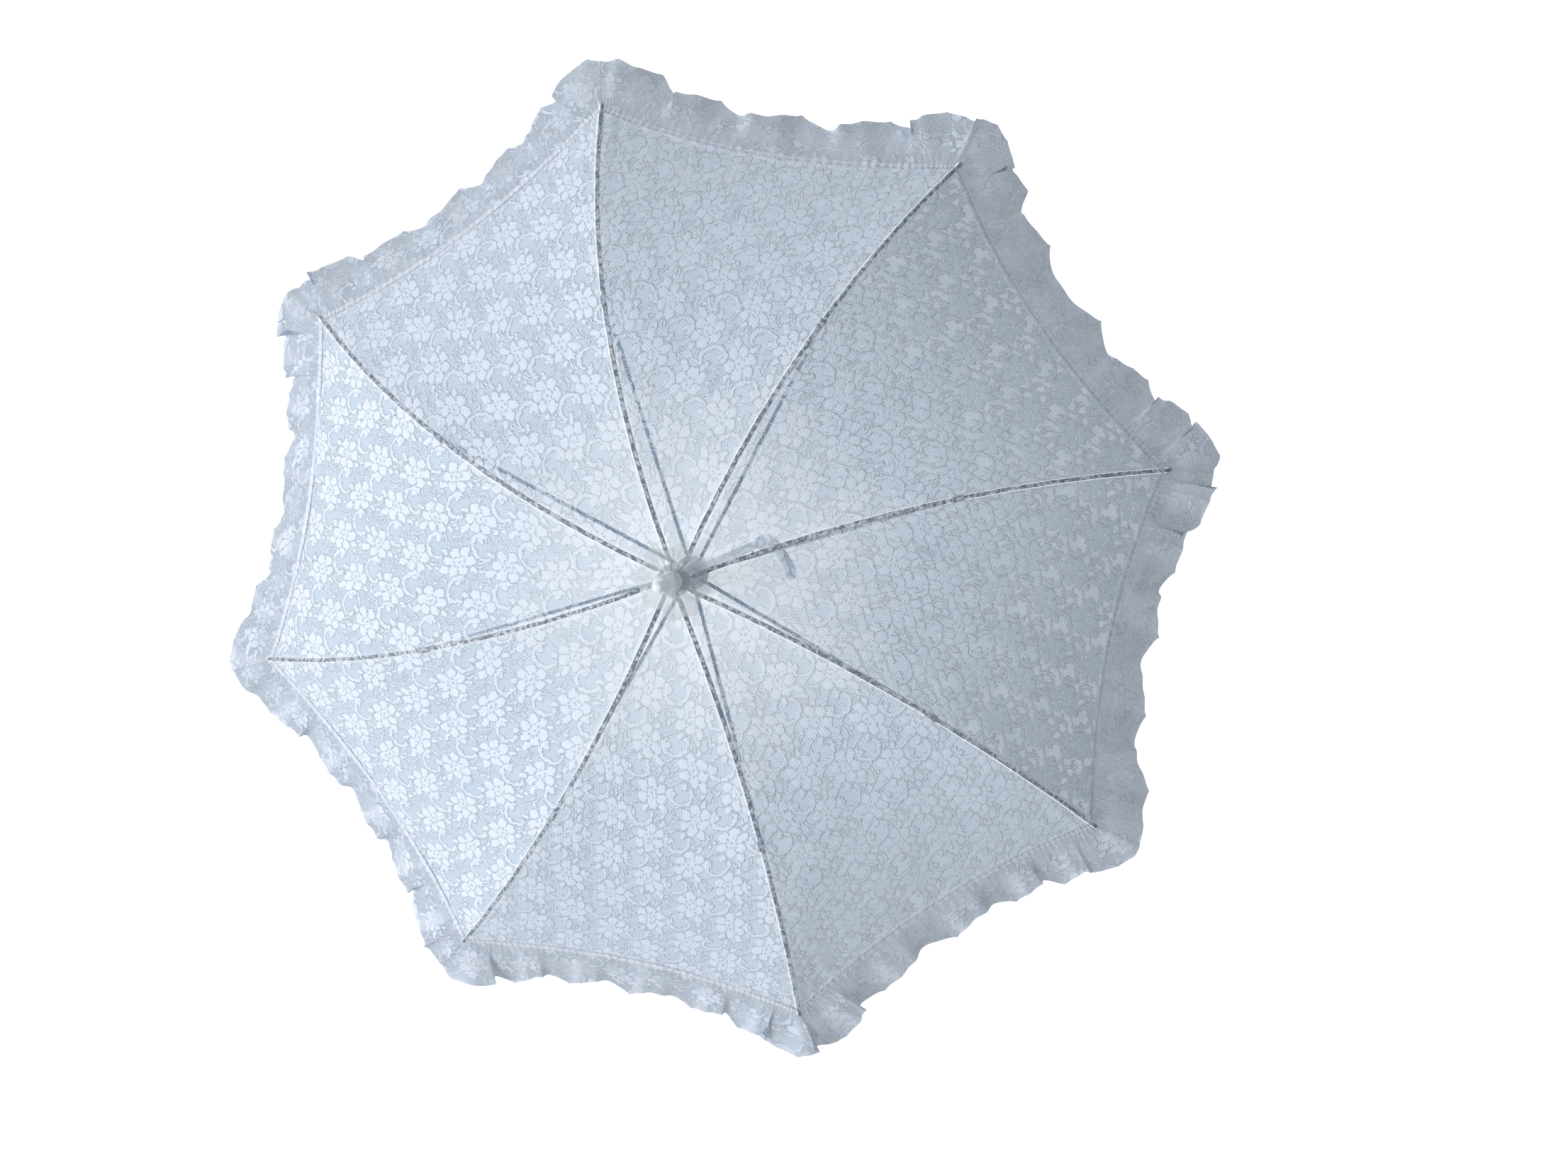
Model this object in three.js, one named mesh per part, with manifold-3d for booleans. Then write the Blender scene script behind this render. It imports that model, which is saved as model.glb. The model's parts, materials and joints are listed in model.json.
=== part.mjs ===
// Lace parasol with a crook handle: eight ribs, eight stretchers, one runner, a lace canopy with a ruffle.
// Millimetres, +Z up. The origin is the middle of the straight grip, on the shaft's axis.
// The crook points along +X, which is the middle of gore 8. Ribs are numbered anticlockwise seen from above.
import * as THREE from "three";
import Module from "manifold-3d";

const wasm = await Module();
wasm.setup();

// ---- counts ----
const RIBS = 8;
const STEP_RAD = (2 * Math.PI) / RIBS;
const FIRST_RIB_RAD = STEP_RAD / 2;
const GAP = 0.35; // left between pieces that touch

// ---- heights along the shaft ----
const CROWN_Z = 530; // ring of rib pivots
const RUNNER_DROP = 72; // from the rib pivots to the stretcher pivots, canopy open
const RUNNER_Z = CROWN_Z - RUNNER_DROP;
const COLLAR_TOP_Z = 40;
const COLLAR_BOTTOM_Z = 27;
const GRIP_BOTTOM_Z = -30;

// ---- shaft ----
const SHAFT_R = 4;
const BORE_R = 3.5;
const SHAFT_TOP_Z = CROWN_Z + 22;
const SHAFT_BOTTOM_Z = 4;

// ---- crown ----
const CROWN_R = 11.5;
const CROWN_UP = 2.2;
const CROWN_DOWN = 4;
const CROWN_SKIRT_R = 6;
const CROWN_SKIRT_DOWN = 14;
const RIB_PIVOT_R = 8;
const SLOT_WIDTH = 1.9;
const CROWN_SLOT_INNER_R = 5.9;
const WIRE_R = 0.5;
const EYE_R = 0.85;
const TONGUE_THICK = 1.2;
const TONGUE_HALF = 1.5;

// ---- ribs ----
const TIP_R = 350; // radius of the circle of rib ends, open
const DOME_DROP = 119.7; // rib ends below the rib pivots, open
const DOME_LINEAR = 0.22; // share of the drop that is a straight cone
const DOME_POWER = 2.45; // how late the rest of the drop comes
const SIDE_BOW = 0.038 * TIP_R; // all ribs bow the same way round
const BOW_START_R = 12;
const RIB_WIDTH = 2.8;
const RIB_DEPTH = 2.4;
const RIB_WALL = 0.5;
const RIB_START_R = 13.5;
const RIB_SEGMENTS = 12;
const TIP_CAP_R = 1.5;
const TIP_CAP_LENGTH = 5;

// ---- middle joint of each rib ----
const JOINT_R = 200;
const JOINT_BELOW = 5.2; // rivet below the top of the rib
const RIVET_R = 0.5;
const CLIP_LENGTH = 8;
const CLIP_WALL = 0.5;
const CLIP_DOWN = 2; // below the rivet
const CLIP_TOP = 0.3; // below the top of the rib

// ---- stretchers ----
const STRETCHER_WIDTH = 2.4;
const STRETCHER_DEPTH = 2;
const STRETCHER_WALL = 0.45;
const STRETCHER_START = 4.6; // from each pivot to the channel
const STRETCHER_TONGUE = 7;

// ---- runner ----
const RUNNER_PIVOT_R = 9.5;
const RUNNER_HEAD_R = 12.4;
const RUNNER_HEAD_HALF = 3.4;
const RUNNER_SLEEVE_R = 5.5;
const RUNNER_BORE_R = 4.4;
const RUNNER_SLEEVE_DROP = 38;
const RUNNER_SLOT_INNER_R = 6.9;
const CLOSED_TIP_R = 20; // radius of the circle of rib ends, closed

// ---- spring catches ----
const WINDOW_TOP_DROP = 15; // below the stretcher pivots
const WINDOW_HEIGHT = 12;
const WINDOW_WIDTH = 3.6;
const CATCH_WIDTH = 1.6;
const CATCH_REACH_R = 6.7;
const CATCH_HEIGHT = 9;
const CATCH_LEAF_THICK = 0.7;
const CATCH_LEAF_LENGTH = 24;
const CATCH_LEAF_R = 3.1;

// ---- stop pin above the runner ----
const STOP_PIN_R = 1;
const STOP_PIN_LENGTH = 11.4;
const STOP_PIN_HOLE_R = 1.35;

// ---- ferrule ----
const FERRULE_BASE_Z = CROWN_Z + 9;
const FERRULE_R = 6.5;
const FERRULE_SHOULDER_Z = CROWN_Z + 43;
const FERRULE_DOME = 6;
const NOSE_R = 3.9;
const FERRULE_TIP_Z = CROWN_Z + 58;
const FERRULE_FOOT_R = 7.4;
const SOCKET_R = SHAFT_R + GAP;

// ---- crook handle ----
const CROOK_R = 22;
const GRIP_TOP_R = 6;
const GRIP_MAX_R = 6.6;
const CROOK_END_R = 5.6;
const CROOK_TAIL = 16;
const COLLAR_R = 6.9;

// ---- canopy ----
const CLOTH = 0.6;
const CLOTH_START_R = 5.4;
const CLOTH_LIFT = 0.8; // above the ribs
const CROWN_LIFT = 4.4; // more, over the crown
const CROWN_LIFT_REACH = 17;
const HEM_CURVE = 0.045; // how far the hem curves in between two ribs
const CLOTH_SAG = 0.02; // of the distance between two ribs
const GORE_ALONG = 14;
const GORE_CROWDING = 1.3; // rows lie closer near the crown
const GORE_ACROSS = 6;

// ---- ruffle ----
const RUFFLE_WIDTH = 45;
const RUFFLE_SLOPE_RAD = THREE.MathUtils.degToRad(38);
const RUFFLE_WAVE = 6;
const RUFFLE_WAVES = 5; // per gore
const RUFFLE_ACROSS = 2;
const RUFFLE_ALONG = 30;
const RUFFLE_CLOTH = 0.8;
const RUFFLE_START = 0.9; // from the hem to the strip

// ---- rosette ----
const ROSETTE_R = 25;
const ROSETTE_CLOTH = 0.5;
const ROSETTE_LIFT = 1.5;
const ROSETTE_HOLE_R = SHAFT_R + GAP;
const ROSETTE_SIDES = 24;
const ROSETTE_RINGS = 5;
const ROSETTE_POINTS = 0.12; // how far its eight corners stand out

const UP = new THREE.Vector3(0, 0, 1);

// ---- materials ----
const material = (name, color, roughness, metalness) =>
  Object.assign(new THREE.MeshStandardMaterial({ color, roughness, metalness }), { name });
const WHITE_STEEL = material("white_steel", 0xd9dde0, 0.35, 0.2);
const BRIGHT_STEEL = material("bright_steel", 0xb9bec4, 0.3, 0.9);
const SPRING_STEEL = material("spring_steel", 0x8d949b, 0.35, 0.9);
const DARK_STEEL = material("dark_steel", 0x5b6066, 0.45, 0.8);
const WHITE_PLASTIC = material("white_plastic", 0xf2f4f6, 0.18, 0);
const NOTCH_PLASTIC = material("notch_plastic", 0xe6e9ec, 0.45, 0);
const LACE = material("lace", 0xdfe5ec, 0.8, 0);
const RUFFLE_LACE = material("ruffle_lace", 0xd6dde5, 0.8, 0);
const SHEER = material("sheer_cloth", 0xc9ced4, 0.7, 0);

// ---- solids ----
// A closed solid from rings of points, all with the same count.
function loft(rings) {
  const count = rings[0].length;
  const end = (rings.length - 1) * count;
  const positions = rings.flat().flatMap((p) => [p.x, p.y, p.z]);
  const faces = [];
  for (let a = 0; a < end; a += count) {
    for (let j = 0; j < count; j++) {
      const k = (j + 1) % count;
      faces.push(a + j, a + k, a + count + k, a + j, a + count + k, a + count + j);
    }
  }
  for (const [p, q, r] of capTriangles(rings[0])) {
    faces.push(p, r, q);
    faces.push(end + p, end + q, end + r);
  }
  return outward(positions, faces);
}

// Triangles over a flat ring, found in the plane that the ring lies in.
function capTriangles(ring) {
  const normal = new THREE.Vector3();
  ring.forEach((p, i) => {
    const q = ring[(i + 1) % ring.length];
    normal.x += (p.y - q.y) * (p.z + q.z);
    normal.y += (p.z - q.z) * (p.x + q.x);
    normal.z += (p.x - q.x) * (p.y + q.y);
  });
  normal.normalize();
  const seed = Math.abs(normal.z) < 0.9 ? UP : new THREE.Vector3(1, 0, 0);
  const side = new THREE.Vector3().crossVectors(normal, seed).normalize();
  const other = new THREE.Vector3().crossVectors(normal, side);
  const flat = ring.map((p) => new THREE.Vector2(p.dot(side), p.dot(other)));
  return THREE.ShapeUtils.triangulateShape(flat, []);
}

function meshVolume(positions, faces) {
  const at = (i) => new THREE.Vector3().fromArray(positions, 3 * i);
  let six = 0;
  for (let i = 0; i < faces.length; i += 3) {
    six += at(faces[i]).dot(at(faces[i + 1]).cross(at(faces[i + 2])));
  }
  return six / 6;
}

// A geometry whose faces point out, whichever way round they were listed.
function outward(positions, faces) {
  const turned = meshVolume(positions, faces) < 0 ? faces.toReversed() : faces;
  const geometry = new THREE.BufferGeometry();
  geometry.setAttribute("position", new THREE.Float32BufferAttribute(positions, 3));
  geometry.setIndex(turned);
  return geometry;
}

// A flat outline given a thickness along the third axis, centred on it.
function plate(outline, thickness) {
  const at = (z) => outline.map(([x, y]) => new THREE.Vector3(x, y, z));
  return loft([at(-thickness / 2), at(thickness / 2)]);
}

function box(width, depth, height, x, y, z) {
  return new THREE.BoxGeometry(width, depth, height).translate(x, y, z);
}

// A round bar between two points.
function bar(from, to, radius, sides) {
  const length = from.distanceTo(to);
  const geometry = new THREE.CylinderGeometry(radius, radius, length, sides);
  const direction = to.clone().sub(from).normalize();
  geometry.applyQuaternion(new THREE.Quaternion().setFromUnitVectors(new THREE.Vector3(0, 1, 0), direction));
  const middle = from.clone().add(to).multiplyScalar(0.5);
  return geometry.translate(middle.x, middle.y, middle.z);
}

// A turned solid about Z from its [radius, height] outline.
function turned(outline, sides) {
  const points = [...outline, outline[0]];
  const closed = points.every(([r]) => r > 0) ? points : outline;
  const geometry = new THREE.LatheGeometry(closed.map(([r, z]) => new THREE.Vector2(r, z)), sides);
  return geometry.rotateX(Math.PI / 2);
}

function solid(geometry) {
  const flat = geometry.index ? geometry.toNonIndexed() : geometry;
  const source = flat.attributes.position.array;
  const seen = new Map();
  const vertices = [];
  const triangles = [];
  for (let i = 0; i < source.length; i += 3) {
    const key = [0, 1, 2].map((j) => Math.round(source[i + j] * 1e4)).join();
    if (!seen.has(key)) {
      seen.set(key, vertices.length / 3);
      vertices.push(source[i], source[i + 1], source[i + 2]);
    }
    triangles.push(seen.get(key));
  }
  const kept = [];
  for (let i = 0; i < triangles.length; i += 3) {
    const [a, b, c] = triangles.slice(i, i + 3);
    if (a !== b && b !== c && c !== a) kept.push(a, b, c);
  }
  const facing = meshVolume(vertices, kept) < 0 ? kept.toReversed() : kept;
  const mesh = new wasm.Mesh({
    numProp: 3,
    vertProperties: new Float32Array(vertices),
    triVerts: new Uint32Array(facing),
  });
  return new wasm.Manifold(mesh);
}

function geometryOf(manifold) {
  const mesh = manifold.getMesh();
  const geometry = new THREE.BufferGeometry();
  geometry.setAttribute("position", new THREE.BufferAttribute(Float32Array.from(mesh.vertProperties), 3));
  geometry.setIndex(Array.from(mesh.triVerts));
  return geometry;
}

function join(...geometries) {
  return geometryOf(geometries.map(solid).reduce((a, b) => a.add(b)));
}

function cut(geometry, ...tools) {
  return geometryOf(tools.map(solid).reduce((a, b) => a.subtract(b), solid(geometry)));
}

// ---- the open canopy's shape ----
const ribAzimuth = (rib) => FIRST_RIB_RAD + (rib - 1) * STEP_RAD;

// The share of the way from the rib's pivot to its end.
const along = (radius) => (radius - RIB_PIVOT_R) / (TIP_R - RIB_PIVOT_R);

function domeHeight(radius) {
  const share = along(radius);
  const curved = Math.max(share, 0) ** DOME_POWER;
  return -DOME_DROP * (DOME_LINEAR * share + (1 - DOME_LINEAR) * curved);
}

function sideBow(radius) {
  const share = Math.max(radius - BOW_START_R, 0) / (TIP_R - BOW_START_R);
  return SIDE_BOW * 4 * share * (1 - share);
}

// A point in a rib's own frame: x outward, y anticlockwise, z up from the pivot ring.
const ribPoint = (radius) => new THREE.Vector3(radius, sideBow(radius), domeHeight(radius));

function ribDirection(radius) {
  const small = 0.5;
  return ribPoint(radius + small).sub(ribPoint(radius - small)).normalize();
}

// The frame that a rib's section rides in: along, across and up.
function ribFrame(radius) {
  const forward = ribDirection(radius);
  const across = new THREE.Vector3().crossVectors(UP, forward).normalize();
  const up = new THREE.Vector3().crossVectors(forward, across);
  return { forward, across, up };
}

const place = (point, rib) =>
  point.clone().applyAxisAngle(UP, ribAzimuth(rib)).add(new THREE.Vector3(0, 0, CROWN_Z));

function channelOutline(width, depth, wall) {
  const half = width / 2;
  const inner = half - wall;
  return [
    [-half, -depth],
    [-half, 0],
    [half, 0],
    [half, -depth],
    [inner, -depth],
    [inner, -wall],
    [-inner, -wall],
    [-inner, -depth],
  ];
}

// ---- pieces of one rib, in the rib's own frame ----
function ribChannel() {
  const outline = channelOutline(RIB_WIDTH, RIB_DEPTH, RIB_WALL);
  const rings = [];
  for (let i = 0; i <= RIB_SEGMENTS; i++) {
    const radius = RIB_START_R + ((TIP_R - RIB_START_R) * i) / RIB_SEGMENTS;
    const { across, up } = ribFrame(radius);
    rings.push(
      outline.map(([a, b]) => ribPoint(radius).addScaledVector(across, a).addScaledVector(up, b)),
    );
  }
  return loft(rings);
}

// The flattened end of a rib or a stretcher: a plate round an eye at the origin, reaching out along x.
function tongue(reach, rise, halfHeight) {
  const sides = 8;
  const outline = [
    [reach, rise - halfHeight],
    [reach, rise + halfHeight],
  ];
  for (let i = 0; i <= sides; i++) {
    const angle = Math.PI / 2 + (Math.PI * i) / sides;
    outline.push([TONGUE_HALF * Math.cos(angle), TONGUE_HALF * Math.sin(angle)]);
  }
  const shape = plate(outline, TONGUE_THICK).rotateX(Math.PI / 2);
  const eye = new THREE.CylinderGeometry(EYE_R, EYE_R, 4 * TONGUE_THICK, 12);
  return cut(shape, eye);
}

function rib() {
  const end = ribPoint(RIB_START_R + 3);
  const shape = tongue(end.x - RIB_PIVOT_R, end.z - RIB_DEPTH / 2, RIB_DEPTH / 2 - 0.2);
  return join(ribChannel(), shape.translate(RIB_PIVOT_R, 0, 0));
}

function ribTip() {
  const { forward, up } = ribFrame(TIP_R - 1);
  const middle = ribPoint(TIP_R)
    .addScaledVector(forward, GAP + TIP_CAP_R + TIP_CAP_LENGTH / 2)
    .addScaledVector(up, -TIP_CAP_R - GAP / 2);
  const shape = new THREE.CapsuleGeometry(TIP_CAP_R, TIP_CAP_LENGTH, 2, 8);
  shape.applyQuaternion(new THREE.Quaternion().setFromUnitVectors(new THREE.Vector3(0, 1, 0), forward));
  return shape.translate(...middle);
}

// The rivet of the middle joint, in the rib's own frame. It lies along y, across the rib's plane of swing.
const clipFrame = ribFrame(JOINT_R);
const rivetAt = ribPoint(JOINT_R).addScaledVector(clipFrame.up, -JOINT_BELOW);
const runnerPivot = new THREE.Vector3(RUNNER_PIVOT_R, 0, -RUNNER_DROP);

// How far the runner slides down to close the canopy, when the rib ends come in to their closed radius.
function runnerTravel() {
  const tip = new THREE.Vector2(TIP_R - RIB_PIVOT_R, -DOME_DROP);
  const joint = new THREE.Vector2(rivetAt.x - RIB_PIVOT_R, rivetAt.z);
  const foot = new THREE.Vector2(RUNNER_PIVOT_R - RIB_PIVOT_R, -RUNNER_DROP);
  const fold = Math.acos((CLOSED_TIP_R - RIB_PIVOT_R) / tip.length()) - Math.atan2(-tip.y, tip.x);
  const closedJoint = joint.clone().rotateAround(new THREE.Vector2(), -fold);
  const fall = Math.sqrt(joint.distanceToSquared(foot) - (closedJoint.x - foot.x) ** 2);
  return fall - closedJoint.y - RUNNER_DROP;
}

// Two cheeks and a web under the rib, pinched on it, with the rivet across the cheeks.
function ribClip() {
  const inner = RIB_WIDTH / 2 + GAP;
  const outer = inner + CLIP_WALL;
  const bottom = -JOINT_BELOW - CLIP_DOWN;
  const webTop = -RIB_DEPTH - GAP;
  const webBottom = webTop - CLIP_WALL;
  const outline = [
    [-outer, bottom],
    [-outer, -CLIP_TOP],
    [-inner, -CLIP_TOP],
    [-inner, webTop],
    [inner, webTop],
    [inner, -CLIP_TOP],
    [outer, -CLIP_TOP],
    [outer, bottom],
    [inner, bottom],
    [inner, webBottom],
    [-inner, webBottom],
    [-inner, bottom],
  ];
  const { forward, across, up } = clipFrame;
  const rings = [-CLIP_LENGTH / 2, CLIP_LENGTH / 2].map((shift) =>
    outline.map(([a, b]) =>
      ribPoint(JOINT_R).addScaledVector(forward, shift).addScaledVector(across, a).addScaledVector(up, b),
    ),
  );
  const reach = new THREE.Vector3(0, outer, 0);
  const rivet = bar(rivetAt.clone().sub(reach), rivetAt.clone().add(reach), RIVET_R, 8);
  return join(loft(rings), rivet);
}

// From the runner's ring to the rivet of the rib's middle joint, in the rib's own frame.
function stretcher() {
  const forward = rivetAt.clone().sub(runnerPivot);
  const length = forward.length();
  forward.normalize();
  const across = new THREE.Vector3().crossVectors(UP, forward).normalize();
  const up = new THREE.Vector3().crossVectors(forward, across);
  const outline = channelOutline(STRETCHER_WIDTH, STRETCHER_DEPTH, STRETCHER_WALL);
  const rings = [STRETCHER_START, length - STRETCHER_START].map((distance) =>
    outline.map(([a, b]) =>
      runnerPivot
        .clone()
        .addScaledVector(forward, distance)
        .addScaledVector(across, a)
        .addScaledVector(up, b + STRETCHER_DEPTH / 2),
    ),
  );
  const slope = Math.asin(forward.z);
  const flattened = () => tongue(STRETCHER_TONGUE, 0, STRETCHER_DEPTH / 2 - 0.1);
  const inner = flattened().rotateY(-slope).translate(...runnerPivot);
  const outer = flattened().rotateY(Math.PI - slope).translate(...rivetAt);
  return join(loft(rings), inner, outer);
}

// ---- canopy ----
// A sheet from rows of points on its lower side, given a thickness towards its upper side.
function sheet(rows, thicken, looped = false) {
  const count = rows[0].length;
  const lower = rows.flat();
  const upper = lower.map((p) => p.clone().add(thicken(p)));
  const positions = [...lower, ...upper].flatMap((p) => [p.x, p.y, p.z]);
  const above = lower.length;
  const faces = [];
  const quad = (a, b, c, d) => faces.push(a, b, c, a, c, d);
  const columns = looped ? count : count - 1;
  for (let i = 0; i < rows.length - 1; i++) {
    for (let j = 0; j < columns; j++) {
      const a = i * count + j;
      const b = i * count + ((j + 1) % count);
      quad(a, b, b + count, a + count);
      quad(above + a, above + a + count, above + b + count, above + b);
    }
  }
  const end = (rows.length - 1) * count;
  for (let j = 0; j < columns; j++) {
    const k = (j + 1) % count;
    quad(j, above + j, above + k, k);
    quad(end + j, end + k, above + end + k, above + end + j);
  }
  if (!looped) {
    for (let i = 0; i < rows.length - 1; i++) {
      const a = i * count;
      const b = a + count - 1;
      quad(a, a + count, above + a + count, above + a);
      quad(b, above + b, above + b + count, b + count);
    }
  }
  return outward(positions, faces);
}

// The underside of the cloth over a rib, in the part's frame. It rises over the crown.
function clothOverRib(radius, rib) {
  const crownLift = CROWN_LIFT * Math.exp(-((radius / CROWN_LIFT_REACH) ** 4));
  const lift = new THREE.Vector3(0, 0, CLOTH_LIFT + crownLift);
  return place(ribPoint(radius).add(lift), rib);
}

// A point of the cloth between a rib and the next one round: share 0 on the first, 1 on the second.
function clothPoint(rib, radius, share) {
  const from = clothOverRib(radius, rib);
  const to = clothOverRib(radius, rib + 1);
  const bulge = 4 * share * (1 - share);
  const sag = CLOTH_SAG * from.distanceTo(to) * bulge;
  return from.lerp(to, share).sub(new THREE.Vector3(0, 0, sag));
}

const hemRadius = (share) => TIP_R - HEM_CURVE * TIP_R * 4 * share * (1 - share);

// Half of the gap left between two cloth pieces, as a share of the way between two ribs.
const edgeShare = (radius) => GAP / (2 * 2 * radius * Math.sin(STEP_RAD / 2));

function gore(rib) {
  const rows = [];
  for (let i = 0; i <= GORE_ALONG; i++) {
    const row = [];
    for (let j = 0; j <= GORE_ACROSS; j++) {
      const across = j / GORE_ACROSS;
      const reach = (i / GORE_ALONG) ** GORE_CROWDING;
      const radius = CLOTH_START_R + (hemRadius(across) - CLOTH_START_R) * reach;
      const edge = edgeShare(radius);
      row.push(clothPoint(rib, radius, edge + (1 - 2 * edge) * across));
    }
    rows.push(row);
  }
  return sheet(rows, () => new THREE.Vector3(0, 0, CLOTH));
}

// A gathered strip along the hem from the middle of one gore, round the rib's end, to the middle of the next.
function ruffle(rib) {
  const rows = [];
  const middleGap = GAP / (4 * TIP_R * Math.sin(STEP_RAD / 2));
  for (let i = 0; i <= RUFFLE_ACROSS; i++) {
    const row = [];
    const out = i / RUFFLE_ACROSS;
    for (let j = 0; j <= RUFFLE_ALONG; j++) {
      const turn = (j / RUFFLE_ALONG - 0.5) * (1 - 2 * middleGap);
      row.push(rufflePoint(rib, turn, out));
    }
    rows.push(row);
  }
  const thicken = (p) => ruffleNormal(p).multiplyScalar(RUFFLE_CLOTH);
  return sheet(rows, thicken);
}

// turn runs from -0.5 to 0.5 about the rib's end, and out from 0 at the hem to 1 at the free edge.
function rufflePoint(rib, turn, out) {
  const share = turn < 0 ? 1 + turn : turn;
  const from = turn < 0 ? rib - 1 : rib;
  const base = clothPoint(from, hemRadius(share), share);
  const outwardFlat = new THREE.Vector3(base.x, base.y, 0).normalize();
  const down = outwardFlat.clone().multiplyScalar(Math.cos(RUFFLE_SLOPE_RAD));
  down.z = -Math.sin(RUFFLE_SLOPE_RAD);
  const wave = RUFFLE_WAVE * out ** 1.5 * Math.cos(2 * Math.PI * RUFFLE_WAVES * turn);
  const rise = ruffleNormal(base).multiplyScalar(wave);
  return base.addScaledVector(down, RUFFLE_START + RUFFLE_WIDTH * out).add(rise);
}

function ruffleNormal(point) {
  const flat = new THREE.Vector3(point.x, point.y, 0).normalize();
  return flat.multiplyScalar(Math.sin(RUFFLE_SLOPE_RAD)).setZ(Math.cos(RUFFLE_SLOPE_RAD));
}

// The sheer patch over the gathered points of the gores.
function rosette() {
  const rows = [];
  for (let i = 0; i <= ROSETTE_RINGS; i++) {
    const row = [];
    for (let j = 0; j < ROSETTE_SIDES; j++) {
      const angle = (2 * Math.PI * j) / ROSETTE_SIDES;
      const edge = ROSETTE_R * (1 + ROSETTE_POINTS * Math.cos(RIBS * angle));
      const radius = ROSETTE_HOLE_R + ((edge - ROSETTE_HOLE_R) * i) / ROSETTE_RINGS;
      const height = clothOverRib(radius, 1).z + CLOTH + ROSETTE_LIFT;
      row.push(new THREE.Vector3(radius * Math.cos(angle), radius * Math.sin(angle), height));
    }
    rows.push(row);
  }
  return sheet(rows, () => new THREE.Vector3(0, 0, ROSETTE_CLOTH), true);
}

// ---- shaft and the pieces fixed on it ----
function ring(radius, thickness, z) {
  return new THREE.TorusGeometry(radius, thickness, 6, 32).translate(0, 0, z);
}

// Slots for the flattened ends, one below each rib.
function slots(innerR, outerR, bottom, top) {
  const made = [];
  for (let k = 1; k <= RIBS; k++) {
    const middle = (innerR + outerR) / 2;
    const slot = box(outerR - innerR, SLOT_WIDTH, top - bottom, middle, 0, (top + bottom) / 2);
    made.push(slot.rotateZ(ribAzimuth(k)));
  }
  return made;
}

function crown() {
  const body = turned(
    [
      [SHAFT_R + GAP, CROWN_Z - CROWN_SKIRT_DOWN],
      [CROWN_SKIRT_R, CROWN_Z - CROWN_SKIRT_DOWN],
      [CROWN_SKIRT_R, CROWN_Z - CROWN_DOWN],
      [CROWN_R, CROWN_Z - CROWN_DOWN],
      [CROWN_R, CROWN_Z + CROWN_UP],
      [SHAFT_R + GAP, CROWN_Z + CROWN_UP],
    ],
    32,
  );
  const through = slots(CROWN_SLOT_INNER_R, CROWN_R + 1, CROWN_Z - CROWN_DOWN - 1, CROWN_Z + CROWN_UP + 1);
  return cut(body, ring(RIB_PIVOT_R, EYE_R, CROWN_Z), ...through);
}

// Heights of the two catches' flat faces, which the runner's window rests against.
const topCatchZ = RUNNER_Z - WINDOW_TOP_DROP - GAP;
const bottomCatchZ = RUNNER_Z - runnerTravel() - WINDOW_TOP_DROP - WINDOW_HEIGHT + GAP;

function shaft() {
  const tube = turned(
    [
      [BORE_R, SHAFT_BOTTOM_Z],
      [SHAFT_R, SHAFT_BOTTOM_Z],
      [SHAFT_R, SHAFT_TOP_Z],
      [BORE_R, SHAFT_TOP_Z],
    ],
    32,
  );
  const slotHeight = CATCH_HEIGHT + 2 * GAP;
  const slotWidth = CATCH_WIDTH + 2 * GAP;
  const top = box(SHAFT_R * 2, slotWidth, slotHeight, SHAFT_R, 0, topCatchZ - CATCH_HEIGHT / 2);
  const bottom = box(SHAFT_R * 2, slotWidth, slotHeight, SHAFT_R, 0, bottomCatchZ + CATCH_HEIGHT / 2);
  const pinReach = new THREE.Vector3(0, SHAFT_R * 2, 0);
  const pinHole = bar(stopPinAt.clone().sub(pinReach), stopPinAt.clone().add(pinReach), STOP_PIN_HOLE_R, 16);
  return cut(tube, top, bottom, pinHole);
}

const stopPinAt = new THREE.Vector3(0, 0, RUNNER_Z + RUNNER_HEAD_HALF + GAP + STOP_PIN_R);

function stopPin() {
  const reach = new THREE.Vector3(0, STOP_PIN_LENGTH / 2, 0);
  return bar(stopPinAt.clone().sub(reach), stopPinAt.clone().add(reach), STOP_PIN_R, 16);
}

// A spring leaf inside the tube with a hook out through the slot. side is -1 with the flat face up, 1 down.
function catchSpring(flatZ, side) {
  const leafInner = CATCH_LEAF_R - CATCH_LEAF_THICK;
  const outline = [
    [leafInner, 0],
    [CATCH_REACH_R, 0],
    [CATCH_REACH_R, CATCH_HEIGHT * 0.25],
    [CATCH_LEAF_R, CATCH_HEIGHT],
    [CATCH_LEAF_R, CATCH_LEAF_LENGTH],
    [leafInner, CATCH_LEAF_LENGTH],
  ].map(([x, z]) => [x, side * z]);
  return plate(outline, CATCH_WIDTH).rotateX(Math.PI / 2).translate(0, 0, flatZ);
}

function ferruleCap() {
  const outline = [
    [0, SHAFT_TOP_Z + 1],
    [SOCKET_R, SHAFT_TOP_Z + 1],
    [SOCKET_R, FERRULE_BASE_Z],
    [FERRULE_FOOT_R, FERRULE_BASE_Z],
    [FERRULE_FOOT_R, FERRULE_BASE_Z + 1.5],
    [FERRULE_R, FERRULE_BASE_Z + 3],
  ];
  const steps = 5;
  const neckR = NOSE_R * 0.8;
  for (let i = 0; i <= steps; i++) {
    const angle = (Math.PI / 2) * (i / steps);
    const radius = neckR + (FERRULE_R - neckR) * Math.cos(angle);
    outline.push([radius, FERRULE_SHOULDER_Z + FERRULE_DOME * Math.sin(angle)]);
  }
  const ballZ = FERRULE_TIP_Z - NOSE_R;
  const first = Math.PI - Math.asin(neckR / NOSE_R);
  for (let i = 1; i < steps + 2; i++) {
    const angle = first * (1 - i / (steps + 2));
    outline.push([NOSE_R * Math.sin(angle), ballZ + NOSE_R * Math.cos(angle)]);
  }
  outline.push([0, FERRULE_TIP_Z]);
  return turned(outline, 24);
}

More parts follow.
